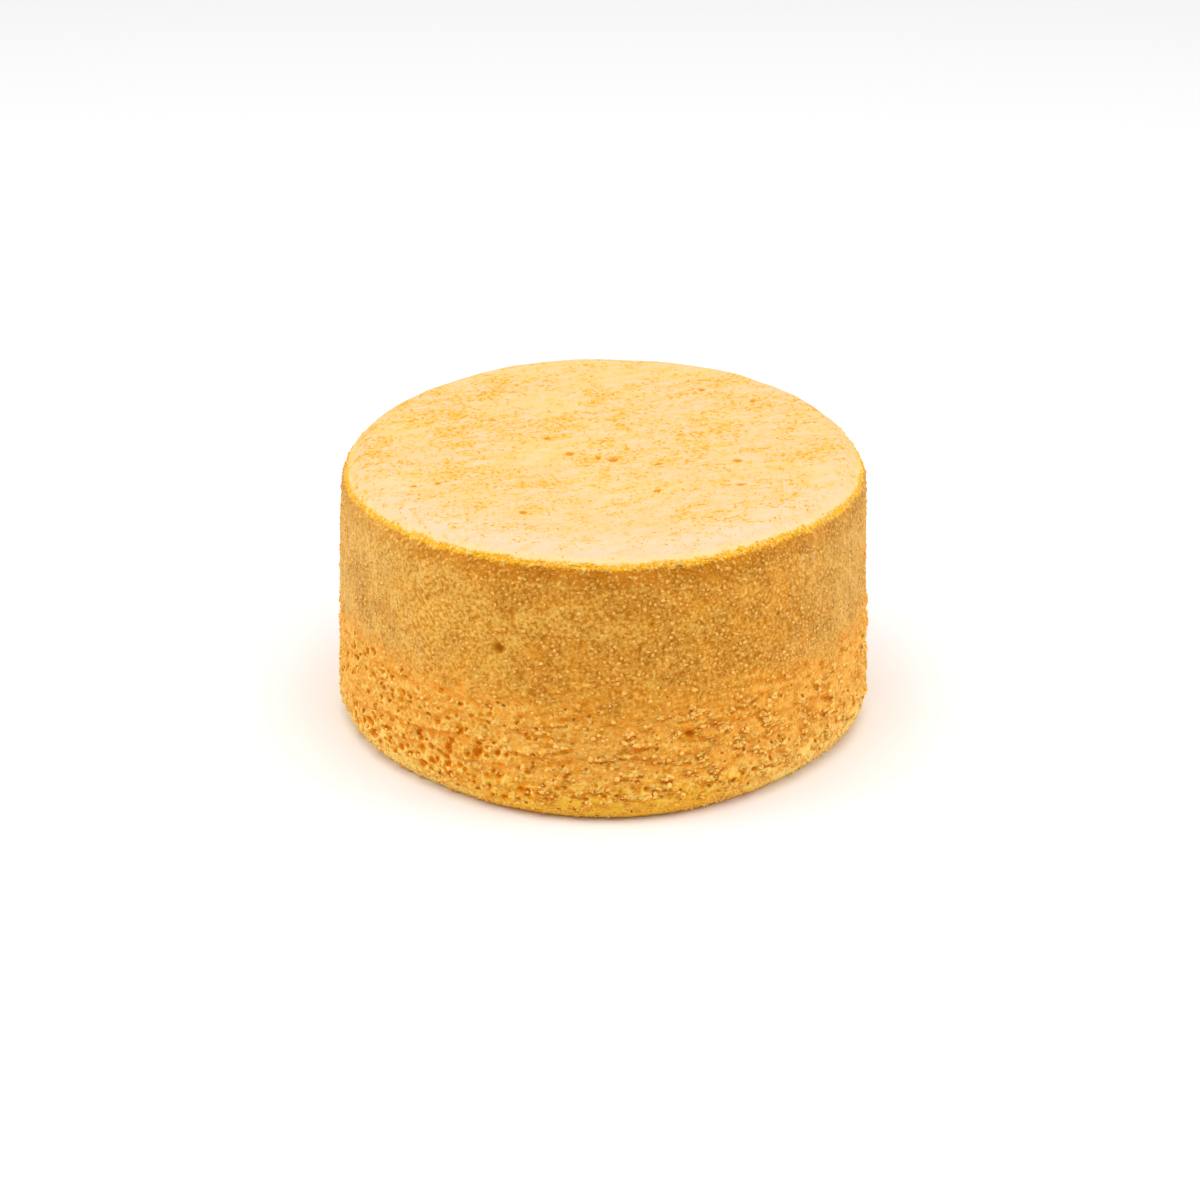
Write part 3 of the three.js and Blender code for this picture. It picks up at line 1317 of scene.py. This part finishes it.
@dataclass(frozen=True)
class CrustFinish:
    """The baked crust: its colours are linear albedo, and its patterns' sizes are in millimetres."""

    cake: CakeSizes = CakeSizes()
    crumb: CrumbSizes = CrumbSizes()
    side: Colour = (0.765, 0.335, 0.036)
    side_patch: Colour = (0.785, 0.41, 0.062)
    # pale crumb colour: partly the crumb's own tone, partly painted highlight on raised crumb
    side_pale_and_highlight: Colour = (0.98, 0.58, 0.135)
    # painted shade: the darker colour in the creases between grains
    side_crease_shade: Colour = (0.57, 0.185, 0.004)
    # pale streaks, laid only far round to the left and right: painted sheen
    side_streak_sheen: Colour = (0.86, 0.58, 0.23)
    # painted shade: the edge of a single hole in the side
    side_hole_shade: Colour = (0.68, 0.27, 0.010)
    # painted shade: the deep middle of a single hole in the side
    side_deep_shade: Colour = (0.46, 0.15, 0.005)
    # painted sheen: the side's paler colour far round to the left and right
    limb: Colour = (0.76, 0.455, 0.125)
    under_rim: Colour = (0.53, 0.185, 0.008)
    belt: Colour = (0.93, 0.41, 0.050)
    # painted sheen: the belt's paler colour far round to the left and right
    belt_limb: Colour = (0.94, 0.44, 0.07)
    # the belt's pale crumb colour: partly its own tone, partly painted highlight
    belt_pale_and_highlight: Colour = (1.0, 0.66, 0.165)
    foot: Colour = (0.95, 0.57, 0.048)
    # painted sheen: the foot's paler colour far round to the left and right
    foot_limb: Colour = (0.97, 0.75, 0.23)
    # painted shade: the orange under raised crust and on down-facing surfaces
    gap: Colour = (0.86, 0.25, 0.001)
    # painted shade: the orange at a hole's edge and on the flakes' slopes
    pit_edge_shade: Colour = (0.87, 0.33, 0.010)
    # painted shade: the deep middle of a hole in the belt and the foot
    pit: Colour = (0.66, 0.16, 0.001)
    top: Colour = (0.80, 0.56, 0.22)
    top_toast: Colour = (0.80, 0.54, 0.26)
    top_pale: Colour = (0.82, 0.585, 0.38)
    top_yellow: Colour = (0.80, 0.47, 0.06)
    # orange specks of the top, and painted shade in its pores
    top_speck_and_pore_shade: Colour = (0.74, 0.31, 0.014)
    # painted shade: the deep middle of a single hole in the top
    top_hole_shade: Colour = (0.66, 0.26, 0.012)
    rim: Colour = (1.0, 0.50, 0.016)
    # the rim's pale crumb colour: partly its own tone, partly painted highlight on its grain
    rim_pale_and_highlight: Colour = (1.0, 0.78, 0.30)
    rim_glow: Colour = (0.94, 0.69, 0.26)
    mottle: Layer = Layer((13.0, 13.0, 8.0), 3.0, 83.0)
    runs: Layer = Layer((3.0, 3.0, 17.0), 3.0, 55.0)
    dabs: Layer = Layer(2.4, 3.0, 91.0)
    crowds: Layer = Layer((22.0, 15.0, 15.0), 2.0, 33.0)
    specks: Layer = Layer(1.7, 1.0, 95.0)
    crumb_specks: Layer = Layer(0.5, 2.0, 0.0, 0.5)
    crumb_bump: float = 0.2
    roughness: float = 0.75
    specular: float = 0.1
    bump_share: float = 0.6

    def side_colour(self, graph: PaintGraph, crust: CrustPattern, holed: bool = True) -> Field:
        """The side's colour.

        Args:
            graph: the material's graph.
            crust: the crust's pattern.
            holed: whether its holes are in it too.

        Returns:
            The colour, from its zones, patches and grain, and from its holes, with painted highlight, shade
            and sheen.
        """
        zone = crust.zone
        mottle = graph.ease(crust.noise(self.mottle), 0.0, 1.0) * 0.8
        runs = graph.ease(crust.noise(self.runs), 0.0, 0.9)
        loud = 1.0 - 0.7 * crust.low
        # painted shade: orange on the raised flakes' slopes
        slope_shade = graph.ease(crust.flakes * (1.0 - crust.flakes) * 3.0, 0.0, 1.0, Easing.STRAIGHT)
        # painted highlight: pale colour on the grain tops, the raised flakes' tops and the holes' lips
        grains = graph.ease(crust.grain, 0.05, 0.95) * loud * 0.8
        raised = graph.most(grains, graph.ease(crust.flakes, 0.55, 1.0), crust.lips)
        # painted shade in the grain's creases, weaker far round to the left and right
        creases = graph.ease(crust.grain, 0.1, -0.8) * loud * (0.85 - 0.4 * crust.sides**3.0)
        base = graph.coated(
            self.side,
            (graph.most(zone.patch, mottle), self.side_patch),
            # painted sheen: paler colour and pale streaks far round to the left and right
            (crust.sides**3.0 * 0.7, self.limb),
            (runs * crust.sides * 0.75, self.side_streak_sheen),
            # the darker band below the rim's line, fainter far round to the left and right
            (crust.under_rim * 0.85 * (1.0 - 0.6 * crust.sides), self.under_rim),
            # painted sheen: the belt and the foot paler far round to the left and right
            (zone.belt, graph.tint(crust.sides, self.belt, self.belt_limb)),
            (zone.foot, graph.tint(crust.sides**0.5, self.foot, self.foot_limb)),
            # painted shade on the flakes' slopes
            (slope_shade * 0.7, self.pit_edge_shade),
            # painted highlight on raised crumb
            (raised * 0.9, graph.tint(crust.low, self.side_pale_and_highlight, self.belt_pale_and_highlight)),
            # painted shade in the grain's creases
            (creases, self.side_crease_shade),
        )
        if not holed:
            return base
        return graph.coated(
            base,
            # painted shade on down-facing belt crust and in the gaps below raised crust
            (graph.shade_facing_down() * zone.belt * 0.8, self.gap),
            (crust.undercuts, self.gap),
            # painted shade in the holes, darker the deeper they are
            (graph.ease(crust.holes, 0.02, 0.45), self.pit_edge_shade),
            (graph.ease(crust.holes, 0.4, 1.05), self.pit),
        )

    def top_colour(self, graph: PaintGraph, crust: CrustPattern) -> Field:
        """The top's colour.

        Args:
            graph: the material's graph.
            crust: the crust's pattern.

        Returns:
            The colour, from its toasted zones, streaks, dabs and pores, with painted shade in the pores.
        """
        toast = crust.zone.toast
        near = graph.ease(crust.y, 0.1 * self.cake.radius, -0.8 * self.cake.radius)
        glow = graph.ease(crust.above_rim, 4.5, 0.8) * (0.75 - 0.4 * crust.sides)
        crowds = crust.noise(self.crowds)
        busy = 0.4 * crust.streaks + 0.3 * toast + 0.35 * crowds + 0.1 * crust.left - 0.2 * near
        dabs = graph.ease(crust.noise(self.dabs) + busy, 0.1, 0.95)
        specks = graph.ease(crust.noise(self.specks) + busy, 0.5, 0.95)
        # painted shade in the top's pores, darker the deeper they are
        pores = graph.ease(crust.holes, 0.1, 0.4)
        return graph.coated(
            self.top,
            (toast, self.top_toast),
            (graph.ease(crust.streaks, 0.1, -0.9) * 0.7, self.top_pale),
            (graph.ease(crust.above_rim, 30.0, 4.0) * near, self.top_pale),
            (graph.ease(crust.streaks, -0.3, 1.0) * 0.4, self.top_yellow),
            (glow, self.rim_glow),
            (dabs * 0.75, self.top_yellow),
            # yellow dabs and specks, and the first painted shade at the pores' edges
            (graph.most(specks, graph.ease(crust.holes, 0.0, 0.2)) * 0.8, self.top_yellow),
            (graph.most(pores, graph.ease(specks, 0.5, 1.0) * 0.7), self.top_speck_and_pore_shade),
        )

    def crust_material(self) -> bpy.types.Material:
        """Builds the crust's material.

        Returns:
            The material, whose patterns follow the mesh's own attributes.
        """
        graph = PaintGraph("crust")
        crust = self.pattern(graph)
        hollow = graph.attribute(Zone.HOLLOW)
        low = graph.ease(crust.low, 0.0, 0.3)
        # painted shade in the single holes: lighter at the edge, darker in the middle
        edge = graph.tint(low, self.side_hole_shade, self.pit_edge_shade)
        core = graph.tint(low, self.side_deep_shade, self.pit)
        colour = graph.coated(
            self.side_colour(graph, crust),
            (crust.top, self.top_colour(graph, crust)),
            # the rim's orange line, painted paler on its grain tops as a highlight
            (crust.rim, graph.tint(graph.ease(crust.grain, -0.2, 0.9), self.rim, self.rim_pale_and_highlight)),
            # painted shade in the single holes
            (graph.ease(hollow, 0.0, 0.4), graph.tint(crust.top, edge, self.top_speck_and_pore_shade)),
            (graph.ease(hollow, 0.2, 0.8), graph.tint(crust.top, core, self.top_hole_shade)),
        )
        return self.shaded(graph, colour, crust.height(1.0, self.bump_share))

    def crumb_material(self) -> bpy.types.Material:
        """Builds the loose crumbs' material.

        Returns:
            The material, whose colour follows the zone that each crumb lies in, with painted shade on its
            down-facing sides.
        """
        graph = PaintGraph("crumbs")
        crust = self.pattern(graph)
        rim = graph.attribute(Zone.RIM)
        crest = graph.tint(crust.low, self.side_pale_and_highlight, self.belt_pale_and_highlight)
        crest = graph.tint(graph.most(rim, crust.top), crest, self.rim_pale_and_highlight)
        side = self.side_colour(graph, crust, holed=False)
        plain = graph.coated(side, (crust.top, self.rim_glow), (rim, self.rim))
        place = graph.field("ShaderNodeTexCoord", output="Object")
        fine = graph.noise(graph.scale(place, 1.0 / MM), self.crumb_specks)
        pale = graph.ease(graph.attribute(Zone.CHANCE), 0.0, 1.0) * (1.0 - 0.7 * crust.under_rim)
        shade = graph.tint(graph.most(crust.low, rim), self.side_crease_shade, self.gap)
        colour = graph.coated(
            plain,
            (pale, crest),
            (graph.ease(fine, 0.55, 0.25) * 0.6, plain),
            # painted shade on the crumbs' down-facing sides
            (graph.shade_facing_down() * 0.85, shade),
        )
        return self.shaded(graph, colour, fine * self.crumb_bump)

    def shaded(self, graph: PaintGraph, colour: Field, height: Field) -> bpy.types.Material:
        """Ends a material's nodes: the matt surface, its colour and its fine relief.

        Args:
            graph: the material's graph.
            colour: the base colour.
            height: the fine relief, in millimetres.

        Returns:
            The finished material.
        """
        inputs = {
            "Base Color": colour,
            "Roughness": self.roughness,
            "Specular IOR Level": self.specular,
            "Normal": graph.field("ShaderNodeBump", {"Height": height, "Distance": MM}),
        }
        graph.node("ShaderNodeOutputMaterial", {"Surface": graph.field("ShaderNodeBsdfPrincipled", inputs)})
        return graph.material

    def pattern(self, graph: PaintGraph) -> CrustPattern:
        """Reads the crust's pattern by the mesh's own attributes.

        Args:
            graph: the material's graph.

        Returns:
            The pattern.
        """
        zones = (Zone.HOME, Zone.RUN, Zone.BELT, Zone.FOOT, Zone.PATCH, Zone.TOAST)
        place, run, *shares = (graph.attribute(zone) for zone in zones)
        return CrustPattern(graph, place, run, self.cake, self.crumb, ZoneShares(*shares))


@dataclass(frozen=True)
class SoftBox:
    """A large soft light: where it stands, its size in metres and its power in watts."""

    name: str
    place: Triple
    width: float
    height: float
    power: float


@dataclass
class Studio:
    """The pale floor, the soft lights and the camera, with sizes in metres and degrees."""

    floor_size: float = 6.0
    floor_colour: Colour = (0.93, 0.93, 0.93)
    floor_roughness: float = 0.9
    surround: Colour = (1.0, 1.0, 1.0)
    surround_strength: float = 0.46
    aim: Triple = (-1.13 * MM, 0.0, 44.9 * MM)
    elevation: float = 24.36
    distance: float = 2.5625
    roll: float = 0.315
    lens: float = 198.5
    sensor: float = 36.0
    view_end: float = 20.0
    lights: Sequence[SoftBox] = (
        SoftBox("overhead", (0.0, -0.2, 1.6), 1.4, 1.7, 20.5),
        SoftBox("left", (-1.5, -0.2, 0.7), 0.9, 1.2, 9.0),
        SoftBox("right", (1.5, -0.2, 0.7), 0.9, 1.2, 9.0),
    )

    def floor(self) -> bpy.types.Object:
        """Makes the floor, which isn't part of the object.

        Returns:
            The floor.
        """
        half = self.floor_size / 2.0
        corners = [(-half, -half, 0.0), (half, -half, 0.0), (half, half, 0.0), (-half, half, 0.0)]
        mesh = bpy.data.meshes.new("floor")
        mesh.from_pydata(corners, [], [(0, 1, 2, 3)])
        material = bpy.data.materials.new("floor")
        material.use_nodes = True
        shader = material.node_tree.nodes["Principled BSDF"]
        shader.inputs["Base Color"].default_value = (*self.floor_colour, 1.0)
        shader.inputs["Roughness"].default_value = self.floor_roughness
        mesh.materials.append(material)
        floor = new_object("floor", mesh)
        return floor

    def light(self, box: SoftBox) -> bpy.types.Object:
        """Hangs one soft light, turned to the cake.

        Args:
            box: its place, size and power.

        Returns:
            The light.
        """
        data = bpy.data.lights.new(box.name, "AREA")
        data.shape = "RECTANGLE"
        data.size = box.width
        data.size_y = box.height
        data.energy = box.power
        lamp = new_object(box.name, data)
        lamp.location = box.place
        towards = Vector(self.aim) - lamp.location
        lamp.rotation_euler = towards.to_track_quat("-Z", "Y").to_euler()
        return lamp

    def camera(self) -> bpy.types.Object:
        """Places the camera in front of the cake and makes it the scene's own.

        Returns:
            The camera.
        """
        data = bpy.data.cameras.new("camera")
        data.lens = self.lens
        data.sensor_width = self.sensor
        data.clip_end = self.view_end
        camera = new_object("camera", data)
        rise = math.radians(self.elevation)
        back = Vector((0.0, -math.cos(rise), math.sin(rise)))
        camera.location = Vector(self.aim) + back * self.distance
        look = (-back).to_track_quat("-Z", "Y")
        camera.rotation_mode = "QUATERNION"
        camera.rotation_quaternion = look @ Quaternion((0.0, 0.0, 1.0), math.radians(self.roll))
        bpy.context.scene.camera = camera
        return camera

    def surroundings(self) -> None:
        """Fills the room with plain white light, and shows colours as they are."""
        world = bpy.data.worlds.new("studio")
        world.use_nodes = True
        background = world.node_tree.nodes["Background"]
        background.inputs["Color"].default_value = (*self.surround, 1.0)
        background.inputs["Strength"].default_value = self.surround_strength
        bpy.context.scene.world = world
        bpy.context.scene.view_settings.view_transform = "Standard"

    def build(self) -> None:
        """Sets up the whole studio."""
        self.camera()
        self.surroundings()
        self.floor()
        for box in self.lights:
            self.light(box)
        LOG.info("studio: %d soft lights", len(self.lights))


def plain(corners: Sequence[Vector]) -> list[list[float]]:
    """A box's corners as plain lists of numbers."""
    return [[float(part) for part in corner] for corner in corners]


def main() -> None:
    """Builds the studio and the cake."""
    logging.basicConfig(level=logging.INFO, format="%(name)s: %(message)s")
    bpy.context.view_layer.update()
    Studio().build()
    finish = CrustFinish()
    cake = CakeBody().build(finish.crust_material())
    crumbs = finish.crumb_material()
    for kind in LOOSE_CRUMBS:
        kind.build(cake, crumbs)


if __name__ == "__main__":
    main()
